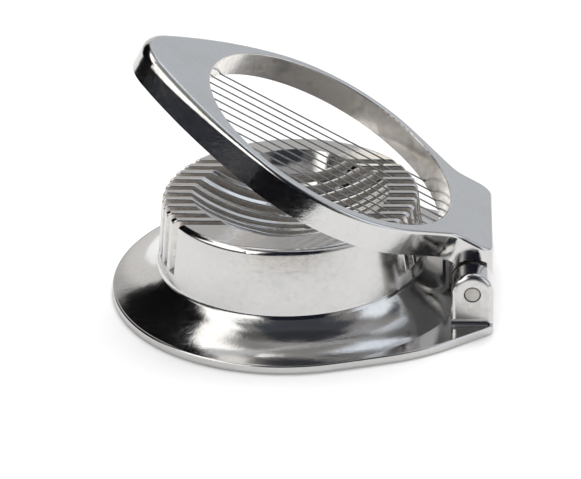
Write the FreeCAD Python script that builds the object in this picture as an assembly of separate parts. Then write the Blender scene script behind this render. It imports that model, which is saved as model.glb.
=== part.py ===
import FreeCAD, Part
import math
import os

# Round cast egg slicer, standing open. Millimetres, +Z up, bottom of the base at z = 0,
# hinge towards +X, handle tip towards -X. It is drawn about the drum's axis, then moved
# so that the origin is the middle of the base's footprint.

os.makedirs("parts", exist_ok=True)

V = FreeCAD.Vector
Y_AXIS = V(0, 1, 0)
Z_AXIS = V(0, 0, 1)

# ---- driving dimensions ----
# base: flange, flared skirt and slotted drum
FLANGE_R = 57.5
FLANGE_T = 2.7
FLANGE_EDGE_R = 0.5
TAIL_END_X = 63.1
TAIL_BLEND_X = 15.0
TAIL_BEND = (33.3, 50.2)
TAIL_SHOULDER = (49.6, 42.16)
TAIL_CORNER_X = 62.05
RIM_FLAT = 0.3
SKIRT_TOP_R = 42.4
SKIRT_TOP_Z = 10.5
SKIRT_START_SLOPE = 50.0
SKIRT_ROOT_R = 2.0
DRUM_R = 40.0
DRUM_TOP_Z = 31.9
DRUM_EDGE_R = 1.8
SHELL_T = 2.6
SEGMENT_ROOF_Z = 22.0

# hollow underside: inner edge of the foot, a point under the skirt, and the drum's inside
FOOT_INNER_R = 52.0
FOOT_INNER_Z = 0.6
UNDER_SKIRT = (44.2, 4.6)
DRUM_INNER_R = 38.8
SEGMENT_R = 38.2
SEGMENT_DRAFT = 1.2

# hollow for the egg: two crossed hollows, so the egg lies either way
DISH_LONG = 30.8
DISH_WIDE = 25.8
DISH_DEPTH = 11.2

# wires and the slots they drop into
WIRE_COUNT = 10
WIRE_PITCH = 4.8
WIRE_R = 0.25
SLOT_W = 2.6
SLOT_FLOOR_Z = 14.6
SLOT_HALF_LENGTH = 46.0
RIB_EDGE_R = 0.45

# hinge
HINGE_X = 56.7
HINGE_Z = 12.85
PIN_R = 2.15
PIN_CLEARANCE = 0.07
PIN_SUNK = 0.1
PIN_START_Y = 11.5
LUG_R = 6.4
LUG_INNER_Y = 22.7
LUG_OUTER_Y = 31.6
LUG_EDGE_R = 1.7
LUG_FOOT_Z = 1.0
LUG_COVE_R = 1.8
BORE_CHAMFER = 0.35

# stop web under the closed frame
STOP_X = 48.6
STOP_T = 2.0
STOP_HALF_W = 12.0
STOP_GAP = 0.25
STOP_FOOT_Z = 3.0
STOP_EDGE_R = 0.5

# wire frame, drawn closed (lying flat) and then swung open
OPEN_ANGLE = 30.2
FRAME_BOTTOM = 2.2
FRAME_T = 9.0
FRAME_X = 0.4
WINDOW_TOP_R = 42.1
WINDOW_BOTTOM_R = 43.0
RING_R = 45.5
RING_FRONT_ANGLE = 117.0
RING_BACK_ANGLE = 50.0
FLANK_R = 145.0
TIP_X = -64.0
TIP_EDGE_R = 2.8
NECK_R = 6.5
BLOCK_HALF_W = 22.2
KNUCKLE_R = 6.4
KNUCKLE_INNER_Y = 10.0
BLOCK_CORNER_R = 4.5
BLOCK_START_X = 50.0
SPOT_FACE_R = 7.1
SPOT_FACE_DEPTH = 0.8
FRAME_EDGE_R = 1.1
WINDOW_EDGE_R = 0.4
BLOCK_ROOF = 2.6
BLOCK_POCKET_X0 = 51.5
BLOCK_POCKET_X1 = 57.5

# wire anchors in the underside of the frame
ANCHOR_HOLE_R = 0.8
ANCHOR_INSET = 2.0
ANCHOR_HOLE_DEPTH = 3.2
PLUG_R = 0.5
PLUG_LENGTH = 2.9
WIRE_RISE = 0.7
WIRE_LEG = 1.7
WIRE_BEND_R = 0.6
GROOVE_W = 0.8
GROOVE_LENGTH = 4.0

# how far a cutting solid reaches past what it cuts
OVERCUT = 1.0

ORIGIN_SHIFT = V((FLANGE_R - TAIL_END_X) / 2, 0, 0)
FRAME_Z0 = HINGE_Z + FRAME_BOTTOM
FRAME_Z1 = FRAME_Z0 + FRAME_T
WIRE_Z = FRAME_Z0 + WIRE_RISE
WIRE_YS = [(i - (WIRE_COUNT - 1) / 2) * WIRE_PITCH for i in range(WIRE_COUNT)]


# ---- small helpers ----
def box(x0, x1, y0, y1, z0, z1):
    return Part.makeBox(x1 - x0, y1 - y0, z1 - z0, V(x0, y0, z0))


def rod_y(radius, x, z, y0, y1):
    """A cylinder lying along Y."""
    return Part.makeCylinder(radius, y1 - y0, V(x, y0, z), Y_AXIS)


def line(p, q):
    return Part.makeLine(p, q)


def arc(p, middle, q):
    return Part.Arc(p, middle, q).toShape()


def flat_face(edges):
    return Part.Face(Part.Wire(Part.sortEdges(edges)[0]))


def solid_of(edges, height):
    """A flat outline pushed up by height."""
    return flat_face(edges).extrude(V(0, 0, height))


def mirrored(p):
    return V(p.x, -p.y, p.z)


def tangent_arc(p, heading, q):
    """Arc from p, leaving along heading, to q; returns it with its heading at q."""
    chord = q - p
    across = Z_AXIS.cross(heading)
    radius = chord.Length ** 2 / (2 * chord.dot(across))
    centre = p + across * radius
    middle = centre + ((p - centre) + (q - centre)).normalize() * abs(radius)
    end_heading = Z_AXIS.cross(q - centre).normalize() * (1 if radius > 0 else -1)
    return arc(p, middle, q), end_heading


def edges_where(shape, test):
    return [edge for edge in shape.Edges if test(edge)]


def polar(centre_x, radius, degrees, z=0.0):
    a = math.radians(degrees)
    return V(centre_x + radius * math.cos(a), radius * math.sin(a), z)


# ---- base casting ----
def flange_outline():
    """Edges of the flange seen from above: a circle that runs out into a blunt tail under the hinge."""
    start = V(TAIL_BLEND_X, math.sqrt(FLANGE_R ** 2 - TAIL_BLEND_X ** 2), 0)
    heading = V(start.y, -start.x, 0).normalize()
    bend = V(*TAIL_BEND, 0)
    shoulder = V(*TAIL_SHOULDER, 0)
    flank, heading = tangent_arc(start, heading, bend)
    cheek, heading = tangent_arc(bend, heading, shoulder)
    corner_in = shoulder + heading * ((TAIL_CORNER_X - shoulder.x) / heading.x)
    # the last arc turns until it runs straight across the tail's end
    turn = math.atan2(heading.x, -heading.y)
    run = TAIL_END_X - corner_in.x
    corner_out = V(TAIL_END_X, corner_in.y - run / math.tan(turn / 2), 0)
    corner, heading = tangent_arc(corner_in, heading, corner_out)
    side = [flank, cheek, line(shoulder, corner_in), corner]
    edges = side + [edge.mirror(V(0, 0, 0), Y_AXIS) for edge in side]
    edges.append(line(corner_out, mirrored(corner_out)))
    edges.append(arc(mirrored(start), V(-FLANGE_R, 0, 0), start))
    return edges


def flange_plate():
    plate = solid_of(flange_outline(), FLANGE_T)
    top_edges = edges_where(plate, lambda e: e.BoundBox.ZMin > FLANGE_T - 0.01)
    return plate.makeFillet(FLANGE_EDGE_R, top_edges)


def skirt_and_drum():
    """Drum with a drafted wall standing on a hollow-curved skirt."""
    skirt_end = V(FLANGE_R - FLANGE_EDGE_R - RIM_FLAT, 0, FLANGE_T)
    skirt_top = V(SKIRT_TOP_R, 0, SKIRT_TOP_Z)
    chord = skirt_top - skirt_end
    chord_slope = math.degrees(math.atan2(chord.z, -chord.x))
    half_turn = math.radians(SKIRT_START_SLOPE - chord_slope)
    sag = chord.Length / 2 * math.tan(half_turn / 2)
    inward = V(-chord.z, 0, chord.x).normalize()
    skirt_mid = (skirt_end + skirt_top) * 0.5 + inward * sag
    profile = [
        line(V(0, 0, 0), V(skirt_end.x, 0, 0)),
        line(V(skirt_end.x, 0, 0), skirt_end),
        arc(skirt_end, skirt_mid, skirt_top),
        line(skirt_top, V(DRUM_R, 0, DRUM_TOP_Z)),
        line(V(DRUM_R, 0, DRUM_TOP_Z), V(0, 0, DRUM_TOP_Z)),
        line(V(0, 0, DRUM_TOP_Z), V(0, 0, 0)),
    ]
    body = Part.Face(Part.Wire(profile)).revolve(V(0, 0, 0), Z_AXIS, 360)
    body = Part.Solid(body.Shells[0]) if body.ShapeType != "Solid" else body
    top_edge = edges_where(body, lambda e: e.BoundBox.ZMin > DRUM_TOP_Z - 0.01 and e.BoundBox.XMax > 1)
    body = body.makeFillet(DRUM_EDGE_R, top_edge)
    root_edge = edges_where(
        body,
        lambda e: abs(e.BoundBox.ZMin - SKIRT_TOP_Z) < 0.01 and abs(e.BoundBox.ZMax - SKIRT_TOP_Z) < 0.01,
    )
    return body.makeFillet(SKIRT_ROOT_R, root_edge)


def egg_hollow(half_length, half_width):
    """Solid of revolution about a line along X above the drum, shaped like a long egg."""
    round_r = (half_width ** 2 + DISH_DEPTH ** 2) / (2 * DISH_DEPTH)
    long_r = (half_length ** 2 + DISH_DEPTH ** 2) / (2 * DISH_DEPTH)
    axis_z = DRUM_TOP_Z - DISH_DEPTH + round_r
    arc_centre_z = DRUM_TOP_Z - DISH_DEPTH + long_r
    tip = math.sqrt(long_r ** 2 - (arc_centre_z - axis_z) ** 2)
    left = V(-tip, 0, axis_z)
    right = V(tip, 0, axis_z)
    lowest = V(0, 0, DRUM_TOP_Z - DISH_DEPTH)
    face = Part.Face(Part.Wire([arc(left, lowest, right), line(right, left)]))
    return face.revolve(V(0, 0, axis_z), V(1, 0, 0), 360)


def hinge_lug(side):
    """Upright ear with a round top and a softened outer face; side is -1 or 1."""
    shoulder_l = V(HINGE_X - LUG_R, 0, HINGE_Z)
    shoulder_r = V(HINGE_X + LUG_R, 0, HINGE_Z)
    foot_l = V(HINGE_X - LUG_R, 0, LUG_FOOT_Z)
    foot_r = V(HINGE_X + LUG_R, 0, LUG_FOOT_Z)
    outline = Part.Wire([
        arc(shoulder_l, V(HINGE_X, 0, HINGE_Z + LUG_R), shoulder_r),
        line(shoulder_r, foot_r),
        line(foot_r, foot_l),
        line(foot_l, shoulder_l),
    ])
    lug = Part.Face(outline).extrude(V(0, side * (LUG_OUTER_Y - LUG_INNER_Y), 0))
    lug.translate(V(0, side * LUG_INNER_Y, 0))
    outer_edges = edges_where(
        lug,
        lambda e: min(abs(e.BoundBox.YMin), abs(e.BoundBox.YMax)) > LUG_OUTER_Y - 0.01
        and e.BoundBox.ZMax > LUG_FOOT_Z + 0.1,
    )
    return lug.makeFillet(LUG_EDGE_R, outer_edges)


def lug_cove(side):
    """Hollow fillet along the foot of a lug's outer face."""
    y0, y1 = sorted((side * (LUG_OUTER_Y - LUG_EDGE_R), side * (LUG_OUTER_Y + LUG_COVE_R)))
    x0 = HINGE_X - LUG_R
    top_z = FLANGE_T + LUG_COVE_R
    strip = box(x0, HINGE_X + LUG_R - LUG_EDGE_R, y0, y1, LUG_FOOT_Z, top_z)
    hollow = Part.makeCylinder(LUG_COVE_R, 2 * LUG_R, V(x0, side * (LUG_OUTER_Y + LUG_COVE_R), top_z), V(1, 0, 0))
    return strip.cut(hollow)


def lug_bore(side):
    """Through hole with a small countersink at the outer mouth."""
    y0, y1 = sorted((side * (LUG_INNER_Y - OVERCUT), side * (LUG_OUTER_Y + OVERCUT)))
    bore = rod_y(PIN_R, HINGE_X, HINGE_Z, y0, y1)
    sink = Part.makeCone(
        PIN_R + BORE_CHAMFER, PIN_R, BORE_CHAMFER,
        V(HINGE_X, side * LUG_OUTER_Y, HINGE_Z), V(0, -side, 0),
    )
    return bore.fuse(sink)


def underside_hollow():
    """Space under the skirt and drum, with deeper pockets in the two unslotted segments."""
    roof_z = SLOT_FLOOR_Z - SHELL_T
    below = V(0, 0, -OVERCUT)
    foot = V(FOOT_INNER_R, 0, FOOT_INNER_Z)
    shoulder = V(DRUM_INNER_R, 0, roof_z)
    profile = [
        line(below, V(FOOT_INNER_R, 0, -OVERCUT)),
        line(V(FOOT_INNER_R, 0, -OVERCUT), foot),
        arc(foot, V(UNDER_SKIRT[0], 0, UNDER_SKIRT[1]), shoulder),
        line(shoulder, V(0, 0, roof_z)),
        line(V(0, 0, roof_z), below),
    ]
    hollow = Part.Face(Part.Wire(profile)).revolve(V(0, 0, 0), Z_AXIS, 360)
    segment_h = SEGMENT_ROOF_Z - roof_z + OVERCUT
    segment = Part.makeCone(SEGMENT_R, SEGMENT_R - SEGMENT_DRAFT, segment_h, V(0, 0, roof_z - OVERCUT))
    slotted_half_width = WIRE_YS[-1] + SLOT_W / 2 + SHELL_T
    middle = box(-DRUM_R, DRUM_R, -slotted_half_width, slotted_half_width, 0, DRUM_TOP_Z)
    return hollow.fuse(segment.cut(middle))


def slots():
    """The cuts in the drum that the wires drop into."""
    return Part.makeCompound([
        box(
            -SLOT_HALF_LENGTH, SLOT_HALF_LENGTH, y - SLOT_W / 2, y + SLOT_W / 2,
            SLOT_FLOOR_Z, DRUM_TOP_Z + OVERCUT,
        )
        for y in WIRE_YS
    ])


def rib_crests(body):
    """Upper edges of the slots' walls."""
    walls = [y + side * SLOT_W / 2 for y in WIRE_YS for side in (-1, 1)]
    return edges_where(
        body,
        lambda e: e.BoundBox.YLength < 0.01
        and min(abs(e.BoundBox.YMin - wall) for wall in walls) < 0.01
        and e.BoundBox.ZMin > SLOT_FLOOR_Z + 1.0,
    )


def stop_web():
    """Low wall behind the drum that the closed frame comes down on."""
    top_z = FRAME_Z0 - STOP_GAP
    web = box(STOP_X - STOP_T / 2, STOP_X + STOP_T / 2, -STOP_HALF_W, STOP_HALF_W, STOP_FOOT_Z, top_z)
    return web.makeFillet(STOP_EDGE_R, edges_where(web, lambda e: e.BoundBox.ZMin > top_z - 0.01))


def base_casting():
    body = flange_plate().fuse(skirt_and_drum())
    body = body.cut(egg_hollow(DISH_LONG, DISH_WIDE))
    crossed = egg_hollow(DISH_LONG, DISH_WIDE)
    crossed.rotate(V(0, 0, 0), Z_AXIS, 90)
    body = body.cut(crossed).cut(slots())
    body = body.makeFillet(RIB_EDGE_R, rib_crests(body))
    body = body.fuse(stop_web())
    for side in (-1, 1):
        body = body.fuse(hinge_lug(side)).fuse(lug_cove(side))
    body = body.cut(underside_hollow())
    for side in (-1, 1):
        body = body.cut(lug_bore(side))
    return body.removeSplitter()


# ---- wire frame, in its closed position ----
def frame_outline():
    """Edges of the frame seen from above: handle tip, ring and hinge block, all tangent."""
    centre = V(FRAME_X, 0, FRAME_Z0)
    # long flank of the handle, tangent to the ring
    front_dir = polar(0, 1, RING_FRONT_ANGLE)
    ring_front = centre + front_dir * RING_R
    flank_centre = centre - front_dir * (FLANK_R - RING_R)
    # round nose, tangent to both flanks
    reach = flank_centre.x - TIP_X
    nose_r = (FLANK_R ** 2 - reach ** 2 - flank_centre.y ** 2) / (2 * (FLANK_R - reach))
    nose = V(TIP_X + nose_r, 0, FRAME_Z0)
    cheek_dir = (nose - flank_centre).normalize()
    cheek = nose + cheek_dir * nose_r
    flank_mid = flank_centre + (front_dir + cheek_dir).normalize() * FLANK_R
    # straight run from the ring to the hinge block, with a concave neck
    back_dir = polar(0, 1, RING_BACK_ANGLE)
    ring_back = centre + back_dir * RING_R
    neck_y = BLOCK_HALF_W + NECK_R
    neck_x = FRAME_X + (RING_R + NECK_R - neck_y * back_dir.y) / back_dir.x
    neck = V(neck_x, neck_y, FRAME_Z0)
    neck_in = neck - back_dir * NECK_R
    neck_out = V(neck_x, BLOCK_HALF_W, FRAME_Z0)
    neck_mid = neck - (back_dir + Y_AXIS).normalize() * NECK_R
    tail = V(BLOCK_START_X, BLOCK_HALF_W, FRAME_Z0)
    side = [
        arc(cheek, flank_mid, ring_front),
        arc(ring_front, centre + (front_dir + back_dir).normalize() * RING_R, ring_back),
        line(ring_back, neck_in),
        arc(neck_in, neck_mid, neck_out),
        line(neck_out, tail),
    ]
    other = [edge.mirror(V(0, 0, 0), Y_AXIS) for edge in side]
    tip = arc(mirrored(cheek), V(TIP_X, 0, FRAME_Z0), cheek)
    return side + other + [line(tail, mirrored(tail)), tip]


def hinge_block():
    """Rear end of the frame; its end face is upright once the frame stands open."""
    slope = math.radians(OPEN_ANGLE)
    top_x = HINGE_X + (KNUCKLE_R - (FRAME_Z1 - HINGE_Z) * math.sin(slope)) / math.cos(slope)
    bottom_x = HINGE_X + (KNUCKLE_R - FRAME_BOTTOM * math.sin(slope)) / math.cos(slope)
    corners = [
        V(BLOCK_START_X, -BLOCK_HALF_W, FRAME_Z0),
        V(bottom_x, -BLOCK_HALF_W, FRAME_Z0),
        V(top_x, -BLOCK_HALF_W, FRAME_Z1),
        V(BLOCK_START_X, -BLOCK_HALF_W, FRAME_Z1),
    ]
    block = Part.Face(Part.makePolygon(corners + corners[:1])).extrude(V(0, 2 * BLOCK_HALF_W, 0))
    slanted = edges_where(block, lambda e: e.BoundBox.YLength < 0.01 and e.BoundBox.XMin > top_x - 0.01)
    block = block.makeFillet(BLOCK_CORNER_R, slanted)
    top_edges = edges_where(
        block, lambda e: e.BoundBox.ZMin > FRAME_Z1 - 0.01 and e.BoundBox.XMax > BLOCK_START_X + 0.01
    )
    return block.makeFillet(FRAME_EDGE_R, top_edges)


def anchor_hole_x(y, side):
    """Distance along X of an anchor hole, a little way outside the window's lower edge."""
    return FRAME_X + side * (math.sqrt(WINDOW_BOTTOM_R ** 2 - y ** 2) + ANCHOR_INSET)


def anchor_cuts():
    """Blind holes for the wire ends and the grooves leading to them."""
    cuts = []
    for y in WIRE_YS:
        for side in (-1, 1):
            x = anchor_hole_x(y, side)
            low = FRAME_Z0 - OVERCUT
            cuts.append(Part.makeCylinder(ANCHOR_HOLE_R, ANCHOR_HOLE_DEPTH + OVERCUT, V(x, y, low)))
            x0, x1 = sorted((x, x - side * GROOVE_LENGTH))
            groove_top = WIRE_Z + GROOVE_W / 2
            cuts.append(box(x0, x1, y - GROOVE_W / 2, y + GROOVE_W / 2, low, groove_top))
    return Part.makeCompound(cuts)


def swing_open(shape):
    shape.rotate(V(HINGE_X, 0, HINGE_Z), Y_AXIS, OPEN_ANGLE)
    return shape


def roll_edges(shape, radius_at, edges):
    """Fillet edges with a radius that may change along each; radius_at(x) gives it."""
    doc = FreeCAD.newDocument("frame")
    base = doc.addObject("Part::Feature", "base")
    base.Shape = shape
    rolled = doc.addObject("Part::Fillet", "rolled")
    rolled.Base = base
    sizes = []
    for number, edge in enumerate(base.Shape.Edges, start=1):
        if any(edge.isSame(chosen) for chosen in edges(base.Shape)):
            ends = [edge.valueAt(edge.FirstParameter), edge.valueAt(edge.LastParameter)]
            sizes.append((number, radius_at(ends[0].x), radius_at(ends[1].x)))
    rolled.Edges = sizes
    doc.recompute()
    return rolled.Shape.copy()


def knuckle(side):
    """Hinge barrel of the frame, its rear corner rounded like the block above it."""
    y0, y1 = sorted((side * KNUCKLE_INNER_Y, side * BLOCK_HALF_W))
    rear_x = HINGE_X + KNUCKLE_R
    z0, z1 = HINGE_Z - 2 * KNUCKLE_R, HINGE_Z + 4 * KNUCKLE_R
    c0, c1 = sorted((side * (BLOCK_HALF_W - BLOCK_CORNER_R), side * (BLOCK_HALF_W + OVERCUT)))
    corner = box(rear_x - BLOCK_CORNER_R, rear_x + OVERCUT, c0, c1, z0, z1)
    centre = V(rear_x - BLOCK_CORNER_R, side * (BLOCK_HALF_W - BLOCK_CORNER_R), z0)
    corner = corner.cut(Part.makeCylinder(BLOCK_CORNER_R, z1 - z0, centre))
    corner.rotate(V(HINGE_X, 0, HINGE_Z), Y_AXIS, -OPEN_ANGLE)
    return rod_y(KNUCKLE_R, HINGE_X, HINGE_Z, y0, y1).cut(corner)


def wire_frame():
    body = solid_of(frame_outline(), FRAME_T)
    flank_end_x = FRAME_X + RING_R * math.cos(math.radians(RING_FRONT_ANGLE))
    body = roll_edges(
        body,
        lambda x: TIP_EDGE_R if x < flank_end_x - 1 else FRAME_EDGE_R,
        lambda shape: edges_where(
            shape, lambda e: e.BoundBox.ZMin > FRAME_Z1 - 0.01 and e.BoundBox.XMin < BLOCK_START_X - 0.01
        ),
    )
    body = body.fuse(hinge_block())
    for side in (-1, 1):
        body = body.fuse(knuckle(side))
    window = Part.makeCone(
        WINDOW_BOTTOM_R, WINDOW_TOP_R, FRAME_T, V(FRAME_X, 0, FRAME_Z0)
    )
    body = body.cut(window)
    window_edges = edges_where(
        body,
        lambda e: e.BoundBox.ZMin > FRAME_Z1 - 0.01
        and abs(e.BoundBox.XMin - (FRAME_X - WINDOW_TOP_R)) < 0.1,
    )
    body = body.makeFillet(WINDOW_EDGE_R, window_edges)
    pocket = box(
        BLOCK_POCKET_X0, BLOCK_POCKET_X1, -KNUCKLE_INNER_Y, KNUCKLE_INNER_Y,
        FRAME_Z0 - OVERCUT, FRAME_Z1 - BLOCK_ROOF,
    )
    body = body.cut(pocket)
    for side in (-1, 1):
        y0, y1 = sorted((side * (BLOCK_HALF_W - SPOT_FACE_DEPTH), side * (BLOCK_HALF_W + OVERCUT)))
        body = body.cut(rod_y(SPOT_FACE_R, HINGE_X, HINGE_Z, y0, y1))
    body = body.cut(rod_y(PIN_R + PIN_CLEARANCE, HINGE_X, HINGE_Z, -LUG_INNER_Y, LUG_INNER_Y))
    body = body.cut(anchor_cuts())
    return swing_open(body.removeSplitter())


def slicing_wire(y):
    """One taut wire with both ends turned up into the frame."""
    reach = ANCHOR_HOLE_R - WIRE_R
    x0 = anchor_hole_x(y, -1) + reach
    x1 = anchor_hole_x(y, 1) - reach
    top = WIRE_Z + WIRE_LEG
    r = WIRE_BEND_R
    c = r * (1 - math.sqrt(0.5))
    path = Part.Wire([
        line(V(x0, y, top), V(x0, y, WIRE_Z + r)),
        arc(V(x0, y, WIRE_Z + r), V(x0 + c, y, WIRE_Z + c), V(x0 + r, y, WIRE_Z)),
        line(V(x0 + r, y, WIRE_Z), V(x1 - r, y, WIRE_Z)),
        arc(V(x1 - r, y, WIRE_Z), V(x1 - c, y, WIRE_Z + c), V(x1, y, WIRE_Z + r)),
        line(V(x1, y, WIRE_Z + r), V(x1, y, top)),
    ])
    section = Part.Wire([Part.makeCircle(WIRE_R, V(x0, y, top), V(0, 0, -1))])
    return swing_open(path.makePipeShell([section], True, True))


def wire_plugs(side):
    """Row of small pins that lock the wire ends in their holes."""
    offset = side * (ANCHOR_HOLE_R - PLUG_R)
    plugs = [
        Part.makeCylinder(PLUG_R, PLUG_LENGTH, V(anchor_hole_x(y, side) + offset, y, FRAME_Z0 + 0.1))
        for y in WIRE_YS
    ]
    return swing_open(Part.makeCompound(plugs))


def hinge_pin(side):
    y0, y1 = sorted((side * PIN_START_Y, side * (LUG_OUTER_Y - PIN_SUNK)))
    return rod_y(PIN_R, HINGE_X, HINGE_Z, y0, y1)


# ---- write every piece ----
pieces = {
    "base_casting": base_casting(),
    "wire_frame": wire_frame(),
    "hinge_pin_front": hinge_pin(-1),
    "hinge_pin_rear": hinge_pin(1),
    "wire_plugs_tip": wire_plugs(-1),
    "wire_plugs_hinge": wire_plugs(1),
}
for number, wire_y in enumerate(WIRE_YS, start=1):
    pieces["slicing_wire_%02d" % number] = slicing_wire(wire_y)

for node, shape in pieces.items():
    if not shape.isValid():
        raise ValueError(node + " isn't a valid shape")
    shape.translate(ORIGIN_SHIFT)
    shape.exportStep("parts/" + node + ".step")
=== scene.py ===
import math

import bpy
from mathutils import Matrix, Vector

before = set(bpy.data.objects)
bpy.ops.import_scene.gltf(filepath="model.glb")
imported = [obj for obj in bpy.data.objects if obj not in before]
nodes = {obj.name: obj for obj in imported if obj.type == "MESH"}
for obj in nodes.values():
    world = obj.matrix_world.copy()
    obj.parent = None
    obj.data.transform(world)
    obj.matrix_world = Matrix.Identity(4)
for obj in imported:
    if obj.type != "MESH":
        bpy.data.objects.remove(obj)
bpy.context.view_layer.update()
scene = bpy.context.scene
scene.view_settings.view_transform = "Standard"


# ---- camera ----
CAMERA_LENS = 130.75
CAMERA_PLACE = (0.048616, -0.588475, 0.323786)
CAMERA_RIGHT = (0.996962, 0.071015, -0.031990)
CAMERA_UP = (-0.004670, 0.464484, 0.885569)


def add_camera():
    data = bpy.data.cameras.new("camera")
    data.sensor_width = 36.0
    data.lens = CAMERA_LENS
    data.clip_start = 0.01
    data.clip_end = 50.0
    cam = bpy.data.objects.new("camera", data)
    scene.collection.objects.link(cam)
    right = Vector(CAMERA_RIGHT)
    up = Vector(CAMERA_UP)
    columns = (right, up, right.cross(up), Vector(CAMERA_PLACE))
    rows = [[column[i] for column in columns] for i in range(3)]
    cam.matrix_world = Matrix((*rows, (0, 0, 0, 1)))
    scene.camera = cam


add_camera()


# ---- node helpers ----
class Tree:
    """Short calls for building a node tree."""

    def __init__(self, tree):
        self.tree = tree

    def node(self, kind, **settings):
        n = self.tree.nodes.new(kind)
        for key, value in settings.items():
            setattr(n, key, value)
        return n

    def link(self, source, target):
        self.tree.links.new(source, target)

    def feed(self, socket, value):
        """Links value when it is another node's output, and sets it otherwise."""
        if isinstance(value, bpy.types.NodeSocket):
            self.link(value, socket)
        else:
            socket.default_value = value

    def math(self, operation, a, b=0.0, clamp=False):
        n = self.node("ShaderNodeMath", operation=operation, use_clamp=clamp)
        self.feed(n.inputs[0], a)
        self.feed(n.inputs[1], b)
        return n.outputs[0]

    def both(self, a, b):
        return self.math("MULTIPLY", a, b)

    def opposite(self, mask):
        return self.math("SUBTRACT", 1.0, mask)

    def step(self, x, low, high):
        """0 below low, 1 above high, smooth between."""
        n = self.node("ShaderNodeMapRange", interpolation_type="SMOOTHSTEP")
        self.feed(n.inputs["Value"], x)
        n.inputs["From Min"].default_value = low
        n.inputs["From Max"].default_value = high
        return n.outputs["Result"]

    def band(self, x, low, high, soft):
        """1 between low and high, 0 outside, with soft edges."""
        rise = self.step(x, low - soft, low + soft)
        fall = self.step(x, high - soft, high + soft)
        return self.both(rise, self.opposite(fall))

    def lerp(self, factor, a, b):
        """a where factor is 0, b where it is 1."""
        n = self.node("ShaderNodeMapRange")
        self.feed(n.inputs["Value"], factor)
        self.feed(n.inputs["To Min"], a)
        self.feed(n.inputs["To Max"], b)
        return n.outputs["Result"]

    def mix(self, factor, a, b):
        """As lerp, for colours."""
        n = self.node("ShaderNodeMix", data_type="RGBA")
        self.feed(n.inputs[0], factor)
        self.feed(n.inputs[6], a)
        self.feed(n.inputs[7], b)
        return n.outputs[2]


def new_material(name):
    m = bpy.data.materials.new(name)
    m.use_nodes = True
    m.node_tree.nodes.clear()
    t = Tree(m.node_tree)
    out = t.node("ShaderNodeOutputMaterial")
    shader = t.node("ShaderNodeBsdfPrincipled")
    t.link(shader.outputs[0], out.inputs[0])
    return m, t, shader


# ---- metals ----
# the hinge axis, and the frame's own directions and window, in the rest pose
HINGE = (0.0539, 0.0, 0.01285)
OPEN = math.radians(30.2)
FRAME_UP = (math.sin(OPEN), 0.0, math.cos(OPEN))
FRAME_ALONG = (math.cos(OPEN), 0.0, -math.sin(OPEN))
WINDOW_FROM_HINGE = -0.0563
DRUM_X = -0.0028


class Surface:
    """Coordinates, textures and bumps shared by the metals, in metres, in the rest pose."""

    def __init__(self, t):
        self.t = t
        coords = t.node("ShaderNodeTexCoord")
        self.place = coords.outputs["Object"]
        self.normal = coords.outputs["Normal"]
        self.x, self.y, self.z = self.split(self.place)
        _, self.ny, self.nz = self.split(self.normal)

    def split(self, vector):
        n = self.t.node("ShaderNodeSeparateXYZ")
        self.t.link(vector, n.inputs[0])
        return n.outputs

    def along(self, source, axis, origin=(0.0, 0.0, 0.0)):
        """How far source lies from origin along axis."""
        t = self.t
        shift = t.node("ShaderNodeVectorMath", operation="SUBTRACT")
        t.link(source, shift.inputs[0])
        shift.inputs[1].default_value = origin
        dot = t.node("ShaderNodeVectorMath", operation="DOT_PRODUCT")
        t.link(shift.outputs[0], dot.inputs[0])
        dot.inputs[1].default_value = axis
        return dot.outputs["Value"]

    def radius(self, a, b):
        t = self.t
        return t.math("SQRT", t.math("ADD", t.both(a, a), t.both(b, b)))

    def noise(self, scale, detail, rough, seed, stretch=(1.0, 1.0, 1.0)):
        t = self.t
        n = t.node("ShaderNodeTexNoise")
        n.inputs["Scale"].default_value = scale
        n.inputs["Detail"].default_value = detail
        n.inputs["Roughness"].default_value = rough
        move = t.node("ShaderNodeMapping")
        move.inputs["Location"].default_value = (seed, seed * 0.7, -seed)
        move.inputs["Scale"].default_value = stretch
        t.link(self.place, move.inputs[0])
        t.link(move.outputs[0], n.inputs["Vector"])
        return n.outputs[0]

    def pits(self, scale, size, share):
        """1 in small round pits; share is how many of the pattern's cells hold one."""
        t = self.t
        v = t.node("ShaderNodeTexVoronoi")
        v.inputs["Scale"].default_value = scale
        t.link(self.place, v.inputs["Vector"])
        dot = t.opposite(t.step(v.outputs["Distance"], size * 0.5, size))
        pick = t.node("ShaderNodeSeparateColor")
        t.link(v.outputs["Color"], pick.inputs[0])
        return t.both(dot, t.math("LESS_THAN", pick.outputs[0], share))

    def bump(self, height, distance, before=None):
        t = self.t
        b = t.node("ShaderNodeBump")
        b.inputs["Strength"].default_value = 1.0
        t.feed(b.inputs["Distance"], distance)
        t.link(height, b.inputs["Height"])
        if before is not None:
            t.link(before, b.inputs["Normal"])
        return b.outputs[0]


# a casting's finish where no zone applies; depth is the height of its bumps in metres
POLISHED = {
    "colour": (0.60, 0.595, 0.59, 1), "rough": 0.10, "depth": 0.000020, "metal": 1.0, "dirt": 0.0,
}
TARNISH = (0.47, 0.45, 0.42, 1)
MOTTLE = (0.34, 0.325, 0.31, 1)
STAIN = (0.26, 0.235, 0.21, 1)
PIT = (0.07, 0.06, 0.055, 1)
SMOOTHEST = 0.05
GRAIN_SHARE = 0.55


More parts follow.
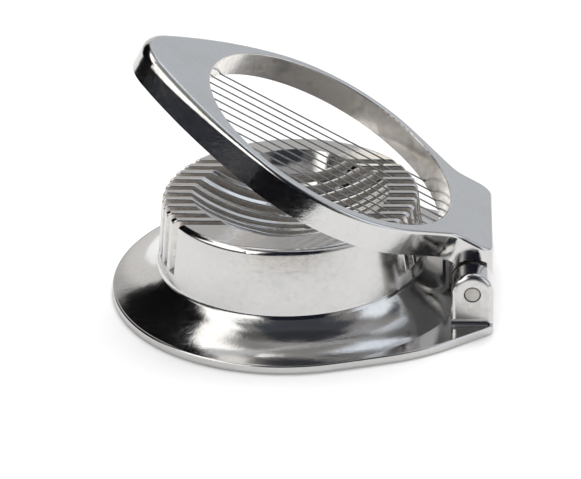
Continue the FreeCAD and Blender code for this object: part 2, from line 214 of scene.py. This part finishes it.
def cast_metal(name, zones):
    """Polished casting. zones(surface) lists masks, each with the finish that it stands for."""
    m, t, shader = new_material(name)
    s = Surface(t)
    broad = s.noise(scale=70, detail=2.0, rough=0.5, seed=3.0)
    fine = s.noise(scale=620, detail=4.0, rough=0.6, seed=1.0)
    grain = s.noise(scale=2100, detail=2.0, rough=0.5, seed=2.0)
    scratch = s.noise(scale=260, detail=3.0, rough=0.6, seed=5.0, stretch=(0.15, 3.0, 3.0))
    blotch = s.noise(scale=210, detail=3.0, rough=0.65, seed=7.0)
    finish = dict(POLISHED)
    for mask, change in zones(s):
        for key, value in change.items():
            if key == "colour":
                finish[key] = t.mix(mask, finish[key], (*value, 1))
            else:
                finish[key] = t.lerp(mask, finish[key], value)
    dirt = finish["dirt"]

    # warm tarnish in broad patches, fine mottling, stains where it is dirty, and dark casting pits
    colour = t.mix(t.both(t.step(broad, 0.42, 0.72), 0.18), finish["colour"], TARNISH)
    mottle = t.both(t.step(fine, 0.45, 0.75), t.math("ADD", 0.12, t.both(dirt, 0.35)))
    colour = t.mix(mottle, colour, MOTTLE)
    stain = t.both(t.step(blotch, 0.5, 0.66), t.both(dirt, 0.5))
    colour = t.mix(stain, colour, STAIN)
    pits = s.pits(scale=520, size=0.085, share=0.12)
    pits = t.math("MULTIPLY", pits, t.math("ADD", 0.25, dirt), clamp=True)
    colour = t.mix(pits, colour, PIT)
    t.link(colour, shader.inputs["Base Color"])
    t.feed(shader.inputs["Metallic"], finish["metal"])

    worn = t.math("ADD", finish["rough"], t.both(t.math("SUBTRACT", fine, 0.5), 0.14))
    worn = t.math("ADD", worn, t.both(t.step(scratch, 0.52, 0.7), 0.05))
    worn = t.math("ADD", worn, t.both(pits, 0.3))
    t.link(t.math("MAXIMUM", worn, SMOOTHEST), shader.inputs["Roughness"])

    normal = s.bump(fine, finish["depth"])
    normal = s.bump(grain, t.both(finish["depth"], GRAIN_SHARE), normal)
    t.link(normal, shader.inputs["Normal"])
    return m


# Where a zone starts and where it is full: radii from the axis of the drum, the window or the pin,
# then places along X, and heights. The limits inside the functions are for parts of a normal, 0 to 1.
SKIRT_FROM_R = (0.0430, 0.0434)
WALL_FROM_R = (0.0402, 0.0410)
BOWL_EDGE_R = (0.0340, 0.0345)
WINDOW_WALL_R = (0.04305, 0.04325)
FLANK_FROM_R = (0.0450, 0.0460)
EAR_FROM_X = (0.0455, 0.0460)
EAR_FROM_Z = (0.0030, 0.0036)
WALL_FROM_Z = (0.0112, 0.0120)
SLOT_FROM_Z = (0.0138, 0.0142)
SLOT_FLOOR_BELOW_Z = (0.0150, 0.0153)
TOP_FROM_Z = (0.0190, 0.0195)
BOWL_BELOW_Z = (0.0311, 0.0314)
FACE_FROM_HEIGHT = (0.0100, 0.0105)
PIN_RIM_R = (0.00200, 0.00262)
PIN_RIM_SOFT = 0.00008


def base_zones(s):
    t = s.t
    r = s.radius(t.math("SUBTRACT", s.x, DRUM_X), s.y)
    upright = t.opposite(t.step(t.math("ABSOLUTE", s.nz), 0.2, 0.35))
    on_drum = t.both(t.opposite(t.step(r, *SKIRT_FROM_R)), t.step(s.z, *WALL_FROM_Z))
    wall = t.both(upright, on_drum)
    sideways = t.step(t.math("ABSOLUTE", s.ny), 0.93, 0.985)
    inside = t.opposite(t.step(r, *WALL_FROM_R))
    slot_wall = t.both(t.both(sideways, inside), t.step(s.z, *SLOT_FROM_Z))
    flat_floor = t.both(t.step(s.nz, 0.7, 0.9), t.opposite(t.step(s.z, *SLOT_FLOOR_BELOW_Z)))
    slot_floor = t.both(flat_floor, on_drum)
    top = t.both(t.step(s.nz, 0.3, 0.5), t.step(s.z, *TOP_FROM_Z))
    bowl = t.both(t.opposite(t.step(s.z, *BOWL_BELOW_Z)), t.opposite(t.step(r, *BOWL_EDGE_R)))
    hollow = t.both(top, bowl)
    ears = t.both(t.step(s.x, *EAR_FROM_X), t.step(s.z, *EAR_FROM_Z))
    ear_face = t.both(ears, t.step(t.math("ABSOLUTE", s.ny), 0.80, 0.97))
    from_pin = s.radius(t.math("SUBTRACT", s.x, HINGE[0]), t.math("SUBTRACT", s.z, HINGE[2]))
    # the chamfer round the pin is painted near-black as painted shade, in place of the shadow in the
    # gap round the pin
    painted_pin_rim_shade = t.both(ears, t.band(from_pin, *PIN_RIM_R, PIN_RIM_SOFT))
    underside = t.step(t.both(s.nz, -1.0), 0.05, 0.2)
    return [
        (wall, {"colour": (0.585, 0.58, 0.575), "rough": 0.18, "depth": 0.000003}),
        (slot_wall, {"colour": (0.76, 0.725, 0.69), "rough": 0.24, "depth": 0.00002,
                     "metal": 0.8, "dirt": 0.4}),
        (slot_floor, {"colour": (0.66, 0.62, 0.58), "rough": 0.5, "depth": 0.00004,
                      "metal": 0.5, "dirt": 0.5}),
        (top, {"colour": (0.64, 0.635, 0.63), "rough": 0.11, "depth": 0.000008}),
        (hollow, {"colour": (0.64, 0.635, 0.63), "rough": 0.055, "depth": 0.000005}),
        (ear_face, {"colour": (0.66, 0.65, 0.64), "rough": 0.32, "depth": 0.00002,
                    "metal": 0.9, "dirt": 0.35}),
        # painted shade round the pin: near-black colour stands in for the shadow in the gap; its dirt
        # adds real grime stains and pits
        (painted_pin_rim_shade, {"colour": (0.07, 0.06, 0.05), "rough": 0.5, "depth": 0.00002, "dirt": 0.5}),
        (underside, {"colour": (0.46, 0.44, 0.42), "rough": 0.6, "depth": 0.00005,
                     "metal": 0.8, "dirt": 0.5}),
    ]


def frame_zones(s):
    t = s.t
    up = s.along(s.normal, FRAME_UP)
    height = s.along(s.place, FRAME_UP, HINGE)
    along = s.along(s.place, FRAME_ALONG, HINGE)
    r = s.radius(t.math("SUBTRACT", along, WINDOW_FROM_HINGE), s.y)
    face = t.both(t.step(up, 0.93, 0.99), t.step(height, *FACE_FROM_HEIGHT))
    inner = t.both(t.opposite(t.step(r, *WINDOW_WALL_R)), t.opposite(t.step(up, 0.3, 0.7)))
    below = t.step(t.both(up, -1.0), 0.7, 0.9)
    upright = t.opposite(t.step(t.math("ABSOLUTE", up), 0.2, 0.5))
    flank = t.both(upright, t.step(r, *FLANK_FROM_R))
    return [
        (face, {"colour": (0.60, 0.60, 0.60), "rough": 0.30, "depth": 0.000006}),
        (inner, {"colour": (0.82, 0.785, 0.745), "rough": 0.20, "depth": 0.00003,
                 "metal": 0.82, "dirt": 0.5}),
        (flank, {"rough": 0.12, "depth": 0.000018, "dirt": 0.12}),
        (below, {"colour": (0.86, 0.875, 0.90), "rough": 0.35, "depth": 0.00003,
                 "metal": 0.35, "dirt": 0.1}),
    ]


DRAWN_LINE_DEPTH = 0.000004
DRAWN_SWING = 0.08


def drawn_metal(name, colour, dark, rough, length_axis):
    """Drawn wire or turned pin: faint lines along its length and dull patches."""
    m, t, shader = new_material(name)
    s = Surface(t)
    shader.inputs["Metallic"].default_value = 1.0
    stretch = [3.0, 3.0, 3.0]
    stretch[length_axis] = 0.1
    lines = s.noise(scale=1500, detail=2.0, rough=0.6, seed=4.0, stretch=stretch)
    patch = s.noise(scale=180, detail=3.0, rough=0.6, seed=6.0)
    mixed = t.mix(t.both(t.step(patch, 0.4, 0.7), 0.5), (*colour, 1), (*dark, 1))
    t.link(mixed, shader.inputs["Base Color"])
    swing = t.lerp(lines, rough - DRAWN_SWING, rough + DRAWN_SWING)
    t.link(t.math("ADD", swing, t.both(patch, 0.1)), shader.inputs["Roughness"])
    t.link(s.bump(lines, DRAWN_LINE_DEPTH), shader.inputs["Normal"])
    return m


# the start of a node's name, and its metal
METALS = {
    "base_casting": cast_metal("cast_aluminium_base", base_zones),
    "wire_frame": cast_metal("cast_aluminium_frame", frame_zones),
    "hinge_pin": drawn_metal(
        "pin_aluminium", colour=(0.55, 0.53, 0.50), dark=(0.42, 0.40, 0.37), rough=0.42, length_axis=1),
    "slicing_wire": drawn_metal(
        "wire_steel", colour=(0.42, 0.42, 0.43), dark=(0.30, 0.29, 0.28), rough=0.30, length_axis=0),
    "wire_plugs": drawn_metal(
        "plug_brass", colour=(0.62, 0.43, 0.20), dark=(0.30, 0.19, 0.08), rough=0.38, length_axis=2),
}
for name, obj in nodes.items():
    for start, metal in METALS.items():
        if name.startswith(start):
            obj.data.materials.clear()
            obj.data.materials.append(metal)


# ---- stage ----
# the black cards are seen only in reflections
FLOOR_HALF = 4.0
FLOOR_GREY = 0.88
FLAG_AZIMUTH = -125
FLAG_DISTANCE = 0.35
FLAG_OUTLINE = [
    (-0.33, 0.36), (-0.16, 0.215), (-0.04, 0.117), (0.04, 0.072),
    (0.30, 0.045), (0.30, 0.52), (-0.33, 0.52),
]
TABLE_LEFT_X = -3.0
TABLE_RIGHT_X = 0.3
TABLE_FRONT_Y = -3.0
TABLE_BACK_Y = -0.147
TABLE_Z = 0.001


def matt(name, colour, rough):
    m, _, shader = new_material(name)
    shader.inputs["Base Color"].default_value = (*colour, 1)
    shader.inputs["Roughness"].default_value = rough
    shader.inputs["Specular IOR Level"].default_value = 0.0
    return m


def polygon(name, points, material):
    mesh = bpy.data.meshes.new(name)
    mesh.from_pydata(points, [], [tuple(range(len(points)))])
    obj = bpy.data.objects.new(name, mesh)
    scene.collection.objects.link(obj)
    obj.data.materials.append(material)
    return obj


def card(name, points, material):
    """A polygon that only shows in reflections."""
    obj = polygon(name, points, material)
    obj.visible_camera = False
    obj.visible_shadow = False
    obj.visible_diffuse = False


def rectangle(x0, x1, y0, y1, z):
    return [(x0, y0, z), (x1, y0, z), (x1, y1, z), (x0, y1, z)]


def add_stage():
    floor = rectangle(-FLOOR_HALF, FLOOR_HALF, -FLOOR_HALF, FLOOR_HALF, 0)
    polygon("studio_floor", floor, matt("floor_white", [FLOOR_GREY] * 3, rough=0.9))
    black = matt("black_card", (0.004, 0.004, 0.005), rough=1.0)
    # flag behind the object on the left, its lower edge rising to the back
    az = math.radians(FLAG_AZIMUTH)
    facing = Vector((math.sin(az), -math.cos(az), 0))
    along = Vector((-facing.y, facing.x, 0))
    middle = facing * FLAG_DISTANCE
    card("black_flag", [middle + along * s + Vector((0, 0, z)) for s, z in FLAG_OUTLINE], black)
    # dark end of the table in front
    table = rectangle(TABLE_LEFT_X, TABLE_RIGHT_X, TABLE_FRONT_Y, TABLE_BACK_Y, TABLE_Z)
    card("dark_table_end", table, black)


add_stage()


# ---- light ----
# In degrees. Azimuth is 0 on the camera's side and grows to the right; elevation is 0 at the horizon.
# Each region has its azimuth from and to, elevation from and to, softness of its edges, and colour.
# A later one lies on top.
BACKDROP = (0.33, 0.32, 0.31, 1)
REGIONS = [
    (-250, 250, 80, 99, 4, (0.42, 0.41, 0.41)),     # ceiling
    (-200, -118, -95, 24, 8, (0.86, 0.84, 0.82)),   # warm wall, back left
    (-200, -118, 24, 36, 6, (0.62, 0.61, 0.60)),
    (118, 200, -95, 24, 8, (0.69, 0.71, 0.74)),     # cool wall, back right
    (118, 200, 24, 42, 6, (0.78, 0.83, 0.90)),
    (92, 135, 58, 80, 6, (0.44, 0.45, 0.47)),
    (122, 172, 43, 66, 5, (1.05, 1.13, 1.24)),      # window, back right
    (-98, -5, -95, 9, 3, (0.025, 0.029, 0.040)),    # dark floor's edge, front left
    (-42, 75, 56, 71, 4, (0.070, 0.078, 0.096)),    # dark ceiling, front
    (-64, 92, 69, 87, 3, (0.045, 0.048, 0.056)),
    (-85, -48, 66, 78, 5, (0.14, 0.14, 0.14)),
    (-168, -80, 50, 67, 5, (1.9, 1.87, 1.83)),      # high softbox, left
    (-84, -60, 17, 64, 4, (2.0, 1.98, 1.92)),       # softbox, left
    (-60, -24, 12, 53, 4, (2.0, 1.98, 1.92)),
    (-20, 34, -95, 57, 6, (0.014, 0.017, 0.027)),   # dark room behind the camera
    (28, 50, 32, 57, 5, (0.06, 0.066, 0.085)),
    (104, 122, 30, 50, 4, (0.08, 0.09, 0.11)),
    (54, 102, 5, 36, 6, (1.05, 1.12, 1.22)),        # softbox, right
    (74, 101, 36, 53, 4, (1.20, 1.27, 1.36)),
]
WHITE = (1, 1, 1, 1)
AMBIENT = (0.38, 0.38, 0.38, 1)


def backdrop_colour(t):
    split = t.node("ShaderNodeSeparateXYZ")
    t.link(t.node("ShaderNodeTexCoord").outputs["Generated"], split.inputs[0])
    x, y, z = split.outputs
    az = t.both(t.math("ARCTAN2", x, t.both(y, -1.0)), 180 / math.pi)
    el = t.both(t.math("ARCSINE", z), 180 / math.pi)
    colour = BACKDROP
    for a0, a1, e0, e1, soft, tint in REGIONS:
        mask = t.both(t.band(az, a0, a1, soft), t.band(el, e0, e1, soft))
        colour = t.mix(mask, colour, (*tint, 1))
    return colour


def add_world():
    """The studio in reflections, plain grey for diffuse light, and white for the camera."""
    world = bpy.data.worlds.new("studio")
    scene.world = world
    world.use_nodes = True
    world.node_tree.nodes.clear()
    t = Tree(world.node_tree)
    path = t.node("ShaderNodeLightPath")

    def background(colour):
        n = t.node("ShaderNodeBackground")
        t.feed(n.inputs[0], colour)
        return n.outputs[0]

    def choose(ray, otherwise, chosen):
        n = t.node("ShaderNodeMixShader")
        t.link(path.outputs[ray], n.inputs[0])
        t.link(otherwise, n.inputs[1])
        t.link(chosen, n.inputs[2])
        return n.outputs[0]

    light = choose("Is Diffuse Ray", background(backdrop_colour(t)), background(AMBIENT))
    seen = choose("Is Camera Ray", light, background(WHITE))
    t.link(seen, t.node("ShaderNodeOutputWorld").inputs[0])


def add_sun(name, source, energy, spread):
    data = bpy.data.lights.new(name, "SUN")
    data.energy = energy
    data.angle = math.radians(spread)
    sun = bpy.data.objects.new(name, data)
    sun.rotation_euler = Vector(source).to_track_quat("Z", "Y").to_euler()
    sun.visible_glossy = False
    scene.collection.objects.link(sun)


add_world()
add_sun("overhead", source=(0, 0, 1), energy=0.7, spread=80)
add_sun("key", source=(0.12, 0.45, 0.9), energy=2.5, spread=40)
